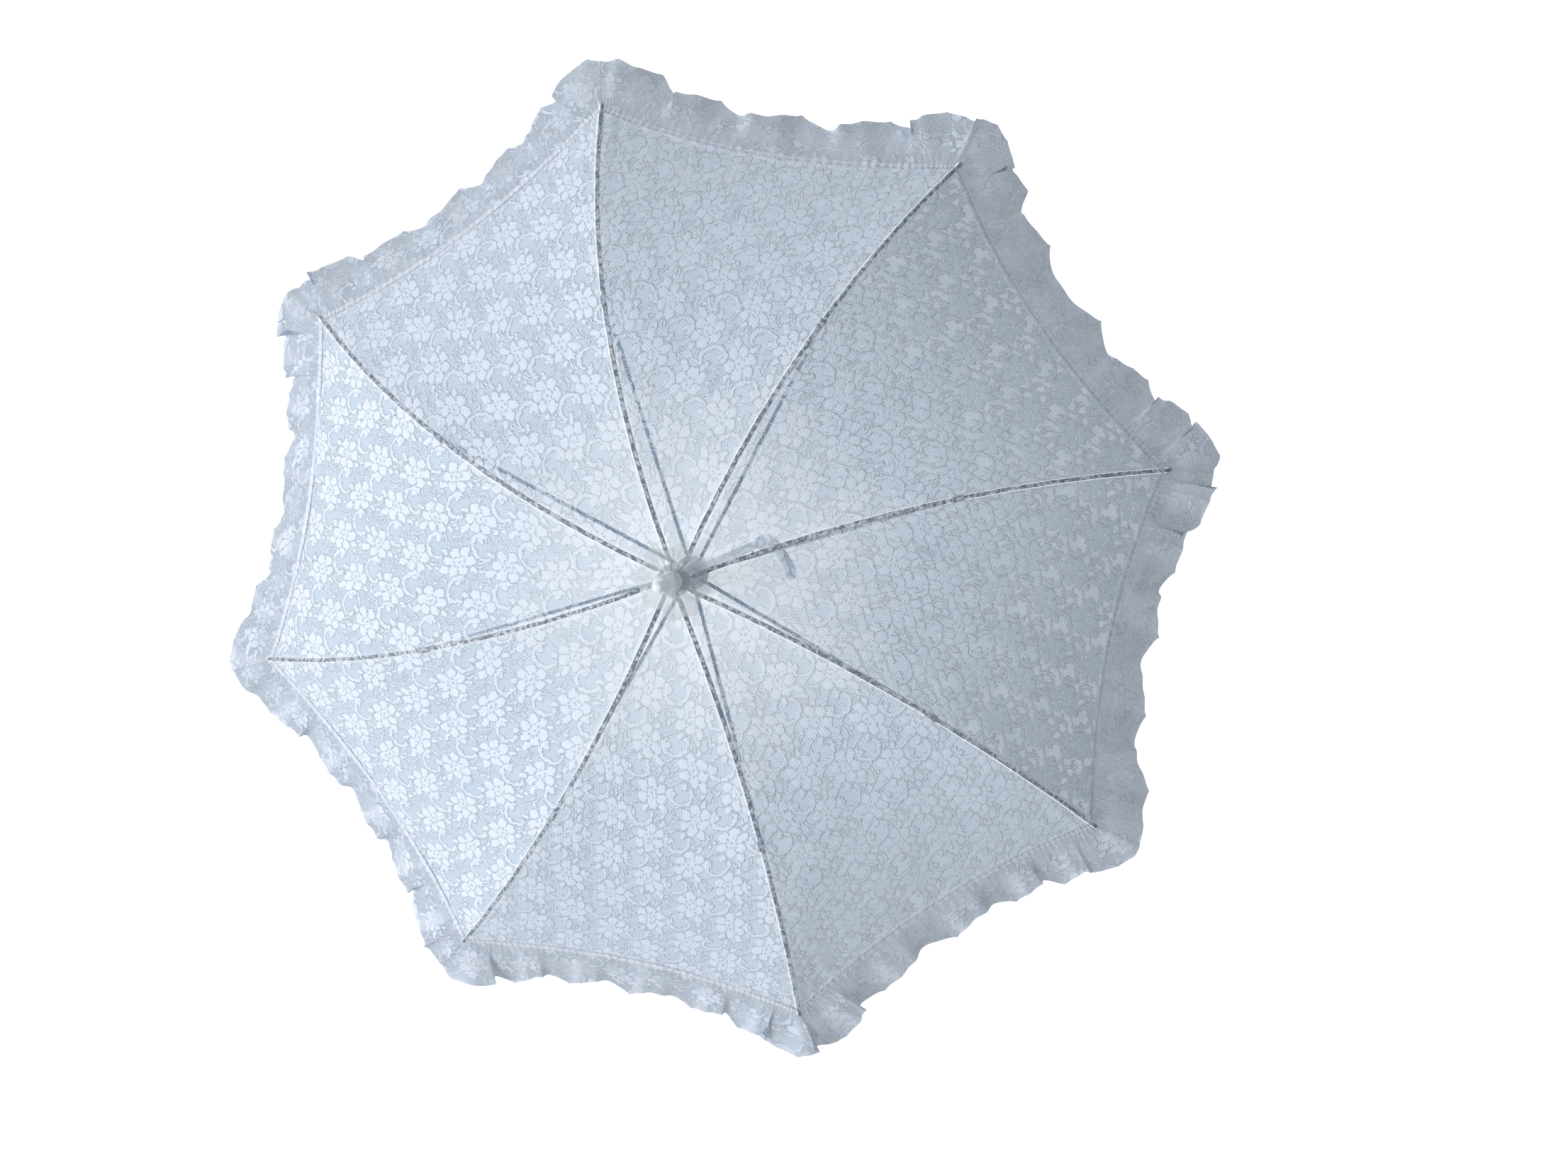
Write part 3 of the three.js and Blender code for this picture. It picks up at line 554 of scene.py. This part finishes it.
def make_lace_sector(rib, material):
    """The canopy's lace from the middle of one gore, over a rib, to the middle of the next."""
    spread = np.linspace(-1, 1, LACE_COLUMNS + 1)
    turn = 0.5 * ((1 - RIB_CROWDING) * spread + RIB_CROWDING * spread**3)
    reach = np.linspace(0, 1, LACE_ROWS + 1)[:, None]
    share = np.where(turn < 0, 1 + turn, turn)
    radius = CLOTH_START_R + (hem_radius(share)[None] - CLOTH_START_R) * reach
    turn = np.broadcast_to(turn, radius.shape)
    points = sector_point(rib, radius, turn)
    chord = chord_at(radius)
    along = length_to(radius)
    before = gore_map((rib - 2) % RIBS + 1, (turn + 0.5) * chord, along)
    after = gore_map(rib, (turn - 0.5) * chord, along)
    chosen = [np.where(turn < 0, a, b) for a, b in zip(before, after)]
    from_rib = turn * chord
    from_hem = (1 - reach) * np.broadcast_to(hem_radius(share), radius.shape)
    points[..., 2] += lace_relief(chosen, from_rib, from_hem) + canopy_ripple(rib + turn, radius)
    piece, quads = sheet_mesh(f"lace_{rib}", points)
    left = np.stack(before, -1).reshape(-1, 2)[quads]
    right = np.stack(after, -1).reshape(-1, 2)[quads]
    middle = turn.ravel()[quads].mean(axis=1)
    write_cloth_map(piece, np.where((middle < 0)[:, None, None], left, right).reshape(-1, 2))
    # the ridges of the hem's creases, which get a painted highlight
    bunched_and_highlit = np.clip(hem_creases(rib + turn, radius) * 3 - 2, 0, 1)
    write_edges(piece, from_rib.ravel(), from_hem.ravel(), bunched_and_highlit.ravel())
    finish_soft(piece, rib, material, f"gore_{rib}")
    width = chord_at(TIP_R) * MM
    length = (length_to(TIP_R) - length_to(CLOTH_START_R)) * MM


def ruffle_wave(phase):
    """The angle of the ruffle's folds, which are not all of one width."""
    angle = 2 * math.pi * phase
    drift = 1.3 * np.sin(angle * 3 / 8 + 1.0) + 0.9 * np.sin(angle * 7 / 8 + 2.0)
    return RUFFLE_WAVES * angle + drift + 0.5 * np.sin(angle * 11 / 8)


def ruffle_folds(phase, out):
    """How far the ruffle stands off its slope, and how far its folds lean over along the hem."""
    wave = ruffle_wave(phase)
    depth = 0.8 + 0.3 * np.sin(2 * math.pi * phase * 5 / 8 + 0.7)
    hung = np.clip(out, 0, 1)
    pucker = PUCKER_HEIGHT * (1 - hung) ** 3 * np.sin(GATHERS_PER_FOLD * wave)
    small_folds = hung * np.sin(3 * wave + 0.8)
    height = depth * (FOLD_HEIGHT * hung**1.1 * np.sin(wave) + small_folds) + pucker
    lean = depth * hung * (FOLD_LEAN * np.sin(wave + 0.35) + FOLD_LEAN / 5 * np.sin(3 * wave + 1.2))
    return height, lean


def ruffle_bunching_and_highlight(phase, out):
    """1 where the folds turn over and the cloth lies double, and along the fine gathers at the seam; a
    highlight is painted there as well.
    """
    wave = ruffle_wave(phase)
    hung = np.clip(out, 0, 1)
    folded = np.clip(np.sin(wave + 1.1 + 0.6 * hung) * 5 - 4, 0, 1) * eased(hung * 3)
    gathers = np.clip(np.sin(GATHERS_PER_FOLD * wave) * 2 - 1, 0, 1) * (1 - hung) ** 3
    return np.maximum(folded, 0.6 * gathers)


def beside_tip(phase):
    """1 at a rib's end, going over to 0 along the hem."""
    off = phase - np.round(phase)
    return np.exp(-((off / TIP_FLARE_SHARE) ** 2))


def ruffle_width(phase):
    """The free edge runs in points with hollows between them, and in a round lobe at a rib's end."""
    wave = ruffle_wave(phase)
    hollow = np.abs(np.sin(wave / 2 + 0.4)) ** 0.8 * (1 - 0.6 * beside_tip(phase))
    share = RUFFLE_POINT - RUFFLE_HOLLOW * hollow + TIP_WIDENING * beside_tip(phase)
    return RUFFLE_WIDTH * (share + 0.02 * np.sin(wave * 1.5))


def eased(share):
    share = np.clip(share, 0, 1)
    return share * share * (3 - 2 * share)


def ruffle_directions(rib, strip, out):
    """Which way the strip runs down from the hem, and which way its outer side faces."""
    reach = np.abs(2 * strip)
    swing = (STEP / 2 + FAN_EXTRA * (1 - reach)) * eased(reach / FAN_SHARE)
    azimuth = rib_azimuth(rib) + np.sign(strip) * swing
    flat = np.stack([np.cos(azimuth), np.sin(azimuth), np.zeros_like(azimuth)], -1)
    upright = np.array([0, 0, 1])
    slope = RUFFLE_SLOPE + (TIP_SLOPE - RUFFLE_SLOPE) * beside_tip(rib + strip) * eased(out * 2)
    slope = slope[..., None]
    down = flat * np.cos(slope) - upright * np.sin(slope)
    normal = flat * np.sin(slope) + upright * np.cos(slope)
    return down, normal


def make_ruffle(rib, material):
    """The gathered strip round one rib's end, lapped over the hem. It fans out past the end."""
    strip = np.linspace(-0.5, 0.5, RUFFLE_COLUMNS + 1)[None]
    out = np.linspace(-RUFFLE_HEADING / RUFFLE_WIDTH, 1, RUFFLE_ROWS + 1)[:, None]
    strip = np.broadcast_to(strip, (out.shape[0], strip.shape[1]))
    out = np.broadcast_to(out, strip.shape)
    phase = rib + strip
    reach = np.abs(2 * strip)
    height, lean = ruffle_folds(phase, out)
    turn = 0.5 * np.sign(strip) * reach**GATHER_POWER + lean / chord_at(TIP_R) * (1 - reach**2)
    share = np.where(turn < 0, 1 + turn, turn)
    base = sector_point(rib, hem_radius(share), turn)
    down, normal = ruffle_directions(rib, strip, out)
    lapped = np.minimum(out, 0) * RUFFLE_WIDTH
    hung = np.maximum(out, 0) * ruffle_width(phase) + RUFFLE_START * (out > 0)
    lift = RUFFLE_LIFT + 0.4 * eased(out * 4) + height
    points = base + down * (lapped + hung)[..., None] + normal * lift[..., None]
    piece, quads = sheet_mesh(f"ruffle_lace_{rib}", points)
    across = phase * chord_at(TIP_R) * RUFFLE_FULLNESS
    corners = np.stack([across, out * RUFFLE_WIDTH + RUFFLE_CUT], -1).reshape(-1, 2)[quads]
    write_cloth_map(piece, corners.reshape(-1, 2))
    beside = turn * chord_at(TIP_R)
    from_tip = np.hypot(beside, out * RUFFLE_WIDTH * TIP_WINDOW)
    from_seam = out * RUFFLE_WIDTH + RUFFLE_HEADING
    write_edges(piece, from_tip.ravel(), from_seam.ravel(), ruffle_bunching_and_highlight(phase, out).ravel())
    finish_soft(piece, rib, material, f"ruffle_{rib}")


def make_rosette(material):
    """The sheer patch over the gathered points of the gores, folded round the ferrule."""
    angle = np.linspace(0, 2 * math.pi, ROSETTE_SIDES, endpoint=False)[None]
    reach = np.linspace(0, 1, ROSETTE_ROWS + 1)[:, None]
    corners = 0.07 * np.cos(RIBS * angle + 0.9 * np.sin(angle)) + 0.05 * np.cos(3 * angle + 1.0)
    corners = corners + 0.04 * np.cos(5 * angle + 2.0)
    radius = ROSETTE_HOLE_R + (ROSETTE_R * (1 + corners) - ROSETTE_HOLE_R) * reach
    lift = cloth_lift(radius) + ROSETTE_LIFT
    pleats = PLEAT_HEIGHT * np.sin(PLEATS * angle + 1.9 * np.sin(2 * angle))
    pleats = pleats + CREASE_HEIGHT * np.sin(CREASES * angle + reach * 3)
    height = CROWN_Z + dome_height(radius) + lift + pleats * np.sqrt(reach) * (1.3 - 0.6 * reach)
    points = np.stack([radius * np.cos(angle), radius * np.sin(angle), height], -1)
    piece, _ = sheet_mesh("rosette_cloth", points, looped=True)
    piece.data.materials.append(material)
    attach(piece, "shaft")
    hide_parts("rosette")


# ---- materials ----
def new_material(name, colour, roughness, metallic=0.0):
    made = bpy.data.materials.new(name)
    made.use_nodes = True
    shader = made.node_tree.nodes["Principled BSDF"]
    shader.inputs["Base Color"].default_value = (*colour, 1)
    shader.inputs["Roughness"].default_value = roughness
    shader.inputs["Metallic"].default_value = metallic
    return made, made.node_tree, shader


def mix(tree, factor, first, second):
    """One colour going over to another. Each is a colour or a socket."""
    node = tree.nodes.new("ShaderNodeMix")
    node.data_type = "RGBA"
    tree.links.new(factor.socket, node.inputs[0])
    for socket, value in ((node.inputs[6], first), (node.inputs[7], second)):
        if isinstance(value, tuple):
            socket.default_value = (*value, 1)
        else:
            tree.links.new(value, socket)
    return node.outputs[2]


def noise(tree, scale, detail, vector=None):
    """Cloudy noise, 0 to 1, about 1/scale across: per metre on an object, or per unit of vector."""
    node = tree.nodes.new("ShaderNodeTexNoise")
    node.inputs["Scale"].default_value = scale
    node.inputs["Detail"].default_value = detail
    if vector is None:
        vector = tree.nodes.new("ShaderNodeTexCoord").outputs["Object"]
    tree.links.new(vector, node.inputs["Vector"])
    return Wire(Formula(tree), node.outputs[0])


def bump(tree, shader, height, distance):
    node = tree.nodes.new("ShaderNodeBump")
    node.inputs["Distance"].default_value = distance
    node.inputs["Strength"].default_value = 1.0
    tree.links.new(height.socket, node.inputs["Height"])
    tree.links.new(node.outputs[0], shader.inputs["Normal"])


def wobble(tree, place, amount):
    """Two numbers, up to about amount either way, by which hand-guided thread strays from its line."""
    node = tree.nodes.new("ShaderNodeTexNoise")
    node.inputs["Scale"].default_value = 0.3
    node.inputs["Detail"].default_value = 2.5
    tree.links.new(place, node.inputs["Vector"])
    across, along, _ = split(tree, node.outputs[1])
    return (across - 0.5) * (4 * amount), (along - 0.5) * (4 * amount)


def split(tree, socket):
    node = tree.nodes.new("ShaderNodeSeparateXYZ")
    tree.links.new(socket, node.inputs[0])
    return [Wire(Formula(tree), out) for out in node.outputs]




def cloth_pattern(tree, m, place, motif_amount, mesh_amount):
    """What is on each spot of the cloth: motif, broken lines of painted shade along its edges, net threads,
    thick patches and fibres.
    """
    x, y, _ = split(tree, place)
    stray_x, stray_y = wobble(tree, place, THREAD_STRAY)
    drawn = lace(m, x + stray_x, y + stray_y)
    patches = noise(tree, 0.045, 3.0, place)
    fibres = noise(tree, 1.3, 2.0, place)
    shown = held(m, (patches - 0.5 + motif_amount) * 3.0)
    meshed = held(m, (0.5 - patches + mesh_amount) * 8.0)
    motif = m.maximum(drawn["solid"] * shown, drawn["cords"] * shown * 0.9)
    motif = m.maximum(motif, net(m, x, y, COARSE_PITCH, COARSE_THREAD) * meshed * 0.8)
    shade_lines = drawn["outline"] * shown * held(m, fibres * 3.0 - 1.0)
    return motif, shade_lines, net(m, x, y, NET_PITCH, NET_THREAD), patches, fibres


def cloth_edges(tree, m):
    """Each 0 to 1: the seam, the cloth turned in beside it, the hem, nearness to the shaft, and bunching,
    which also marks the painted highlight on folds and creases.
    """
    edges = tree.nodes.new("ShaderNodeAttribute")
    edges.attribute_name = "edges"
    from_rib, from_hem, bunched_and_highlit = split(tree, edges.outputs["Vector"])
    from_seam = m.abs(from_rib) - SEAM_HALF
    seam = filled(m, from_seam, BAND_BLUR)
    turned = filled(m, m.abs(from_seam - TURNED_MIDDLE) - TURNED_HALF, BAND_BLUR)
    hem = filled(m, from_hem - HEM_WIDTH, BAND_BLUR)
    inner = held(m, from_hem / (0.5 * TIP_R) - 1.0)
    return seam, turned, hem, inner, bunched_and_highlit


def lace_material(name, shaded_net_colour, net_cover, motif_amount, mesh_amount):
    """Floral net lace. The amounts are how much of the pattern, and of a coarse mesh, shows on plain net."""
    made, tree, shader = new_material(name, shaded_net_colour, 0.8)
    m = Formula(tree)
    cloth = tree.nodes.new("ShaderNodeUVMap")
    cloth.uv_map = "cloth"
    pattern = cloth_pattern(tree, m, cloth.outputs[0], motif_amount, mesh_amount)
    motif, shade_lines, threads, patches, fibres = pattern
    seam, turned, hem, inner, bunched_and_highlit = cloth_edges(tree, m)
    # painted highlight: whiter along the ridges of folds and creases, where the ruffle's cloth also lies
    # double
    doubled_and_highlit = bunched_and_highlit * m.minimum(fibres + 0.3, 1.0)
    # the net's colour carries painted shade, standing for the shade seen through its holes
    colour = mix(tree, motif * (1.0 - HUB_MOTIF_FADE * inner), shaded_net_colour, MOTIF_WHITE)
    # painted shade: broken dark lines along the edges of the motif and cords
    colour = mix(tree, shade_lines * 0.85, colour, PAINTED_SHADE_GREY)
    # the hem and the turned-in cloth are whiter, and the fold and crease ridges carry a painted highlight
    whitened = m.maximum(m.maximum(hem * 0.8, turned * 0.5), doubled_and_highlit * 0.6)
    colour = mix(tree, whitened, colour, HEM_WHITE)
    # painted shade: the cloth's colour greys towards the shaft
    colour = mix(tree, inner * HUB_PAINTED_SHADE, colour, PAINTED_SHADE_GREY)
    tree.links.new(colour, shader.inputs["Base Color"])
    ground = net_cover + THREAD_COVER * threads + PATCH_COVER * (patches - 0.5) - HUB_COVER_LOSS * inner
    folded = m.maximum(hem, m.maximum(turned, doubled_and_highlit))
    thick = m.maximum(m.maximum(motif, shade_lines * 0.7), folded * 0.7)
    alpha = ground + (MOTIF_COVER - HUB_MOTIF_LOSS * inner - ground) * thick
    alpha = m.minimum(alpha + (SEAM_COVER - alpha) * (seam * (1.0 - 0.6 * fibres)), 1.0)
    tree.links.new(alpha.socket, shader.inputs["Alpha"])
    height = motif + threads * 0.25 + fibres * 0.35 + m.maximum(seam, hem) * 0.5
    bump(tree, shader, height, 0.5 * MM)
    tree.links.new((0.88 - 0.22 * motif + 0.1 * fibres).socket, shader.inputs["Roughness"])
    shader.inputs["Specular IOR Level"].default_value = 0.1
    shader.inputs["Sheen Weight"].default_value = 0.25
    shader.inputs["Sheen Roughness"].default_value = 0.4
    return made


def sheer_material():
    """Stiff sheer cloth: an even weave, thin enough to see through."""
    made, tree, shader = new_material("sheer_cloth", (0.80, 0.83, 0.87), 0.6)
    m = Formula(tree)
    x, y, _ = split(tree, tree.nodes.new("ShaderNodeTexCoord").outputs["Object"])
    turns = 2 * math.pi / (0.55 * MM)
    weave = m.abs(m.sin(x * turns)) * m.abs(m.sin(y * turns))
    clouds = noise(tree, 160.0, 3.0)
    tree.links.new(mix(tree, clouds, (0.88, 0.91, 0.95), (0.97, 0.98, 1.0)), shader.inputs["Base Color"])
    alpha = 0.14 + 0.2 * weave + 0.45 * clouds
    tree.links.new(alpha.socket, shader.inputs["Alpha"])
    bump(tree, shader, weave + clouds * 2.0, 0.15 * MM)
    shader.inputs["Sheen Weight"].default_value = 0.4
    return made


def painted_steel(name, worn_share):
    """Thin white paint over drawn steel, worn through in dark broken streaks."""
    made, tree, shader = new_material(name, (0.80, 0.82, 0.84), 0.3)
    m = Formula(tree)
    wear = noise(tree, 330.0, 5.0)
    clouds = noise(tree, 60.0, 2.0)
    worn = held(m, (wear - 1.0 + worn_share) * 9.0)
    colour = mix(tree, clouds, (0.66, 0.68, 0.71), (0.88, 0.90, 0.91))
    tree.links.new(mix(tree, worn, colour, (0.10, 0.105, 0.12)), shader.inputs["Base Color"])
    tree.links.new((0.26 + 0.18 * clouds + 0.2 * worn).socket, shader.inputs["Roughness"])
    bump(tree, shader, clouds - worn, 0.06 * MM)
    return made


def bare_steel(name, dark, bright, roughness):
    """Drawn steel with fine lines along it and duller patches."""
    made, tree, shader = new_material(name, bright, roughness, 0.9)
    streaks = noise(tree, 2600.0, 3.0)
    clouds = noise(tree, 240.0, 3.0)
    tree.links.new(mix(tree, clouds, dark, bright), shader.inputs["Base Color"])
    tree.links.new((roughness + 0.25 * (clouds * streaks)).socket, shader.inputs["Roughness"])
    bump(tree, shader, streaks, 0.02 * MM)
    return made


def moulded_plastic(name, colour, shade, roughness, coat):
    """Moulded plastic with faint flow marks and handling scuffs."""
    made, tree, shader = new_material(name, colour, roughness)
    clouds = noise(tree, 45.0, 3.0)
    scuffs = noise(tree, 1400.0, 4.0)
    tree.links.new(mix(tree, clouds * scuffs, colour, shade), shader.inputs["Base Color"])
    tree.links.new((roughness + 0.16 * (scuffs * clouds)).socket, shader.inputs["Roughness"])
    bump(tree, shader, scuffs + clouds, 0.03 * MM)
    shader.inputs["Coat Weight"].default_value = coat
    shader.inputs["Coat Roughness"].default_value = 0.12
    return made


def dress_frame():
    """Gives every CAD node the finish of its own slot."""
    rib_steel = painted_steel("rib_steel", 0.57)
    stretcher_steel = painted_steel("stretcher_steel", 0.7)
    tube = painted_steel("tube_steel", 0.3)
    bright = bare_steel("bright_steel", (0.52, 0.54, 0.56), (0.80, 0.82, 0.84), 0.22)
    spring = bare_steel("spring_steel", (0.34, 0.36, 0.39), (0.58, 0.60, 0.63), 0.3)
    dark = bare_steel("dark_steel", (0.07, 0.07, 0.08), (0.18, 0.19, 0.21), 0.45)
    gloss = moulded_plastic("gloss_plastic", (0.86, 0.87, 0.89), (0.76, 0.78, 0.82), 0.16, 0.5)
    nylon = moulded_plastic("nylon", (0.84, 0.86, 0.88), (0.72, 0.74, 0.77), 0.42, 0.0)
    single = {
        "shaft": tube,
        "ferrule_cap": gloss,
        "crown": nylon,
        "crown_wire": bright,
        "stop_pin": bright,
        "handle_collar": bright,
        "crook_handle": gloss,
        "runner": nylon,
        "runner_wire": bright,
        "top_catch": spring,
        "bottom_catch": spring,
    }
    ringed = {"rib": rib_steel, "stretcher": stretcher_steel, "rib_tip": dark, "rib_clip": dark}
    finishes = dict(single)
    for stem, finish in ringed.items():
        finishes.update({f"{stem}_{k}": finish for k in RIB_NUMBERS})
    for name, finish in finishes.items():
        mesh = frame["nodes"][name].data
        mesh.materials.clear()
        mesh.materials.append(finish)


# ---- room, light and camera ----


def make_camera():
    back = Vector(
        (
            math.sin(VIEW_AZIMUTH) * math.cos(VIEW_ELEVATION),
            -math.cos(VIEW_AZIMUTH) * math.cos(VIEW_ELEVATION),
            math.sin(VIEW_ELEVATION),
        )
    )
    level = Vector((0, 0, 1)).cross(back).normalized()
    upward = back.cross(level)
    right = level * math.cos(VIEW_ROLL) + upward * math.sin(VIEW_ROLL)
    up = back.cross(right)
    place = Matrix((right, up, back)).transposed().to_4x4()
    place.translation = VIEW_AIM + back * VIEW_DISTANCE
    data = bpy.data.cameras.new("camera")
    data.lens = LENS
    data.clip_start = 0.01
    data.clip_end = 100
    camera = bpy.data.objects.new("camera", data)
    camera.matrix_world = place
    bpy.context.scene.collection.objects.link(camera)
    bpy.context.scene.camera = camera
    return right, up


def add_light(name, direction, distance, size, power):
    """A square soft light that faces the canopy from a direction."""
    data = bpy.data.lights.new(name, "AREA")
    data.size = size
    data.energy = power
    lamp = bpy.data.objects.new(name, data)
    toward = direction.normalized()
    lamp.location = VIEW_AIM + toward * distance
    lamp.rotation_mode = "QUATERNION"
    lamp.rotation_quaternion = toward.to_track_quat("Z", "Y")
    bpy.context.scene.collection.objects.link(lamp)


def make_room(right, up):
    """Pale floor, even white surroundings, and a soft key light from the picture's left."""
    scene = bpy.context.scene
    scene.view_settings.view_transform = "Standard"
    world = bpy.data.worlds.new("room")
    world.use_nodes = True
    tree = world.node_tree
    backdrop = tree.nodes["Background"]
    rays = tree.nodes.new("ShaderNodeLightPath")
    scattered = Wire(Formula(tree), rays.outputs["Is Diffuse Ray"])
    tree.links.new(mix(tree, scattered, ROOM_WHITE, ROOM_SHADE), backdrop.inputs["Color"])
    scene.world = world
    bpy.ops.mesh.primitive_plane_add(size=FLOOR_SIZE, location=(0, 0, FLOOR_Z))
    floor = bpy.context.object
    floor.name = "floor"
    pale, _, shader = new_material("floor", (0.93, 0.93, 0.93), 0.9)
    shader.inputs["Emission Color"].default_value = (1, 1, 1, 1)
    shader.inputs["Emission Strength"].default_value = FLOOR_GLOW
    floor.data.materials.append(pale)
    above = Vector((0, 0, 1))
    add_light("key", above * KEY_RISE - right - up * KEY_LOWER, KEY_DISTANCE, KEY_SIZE, KEY_POWER)
    add_light("fill", above, FILL_DISTANCE, FILL_SIZE, FILL_POWER)


dress_frame()
canopy_lace = lace_material("canopy_lace", CANOPY_NET_WITH_SHADE, CANOPY_COVER, 0.62, -0.5)
ruffle_net = lace_material("ruffle_net", RUFFLE_NET_WITH_SHADE, RUFFLE_COVER, 0.2, -0.05)
for number in RIB_NUMBERS:
    make_lace_sector(number, canopy_lace)
    make_ruffle(number, ruffle_net)
make_rosette(sheer_material())
make_room(*make_camera())
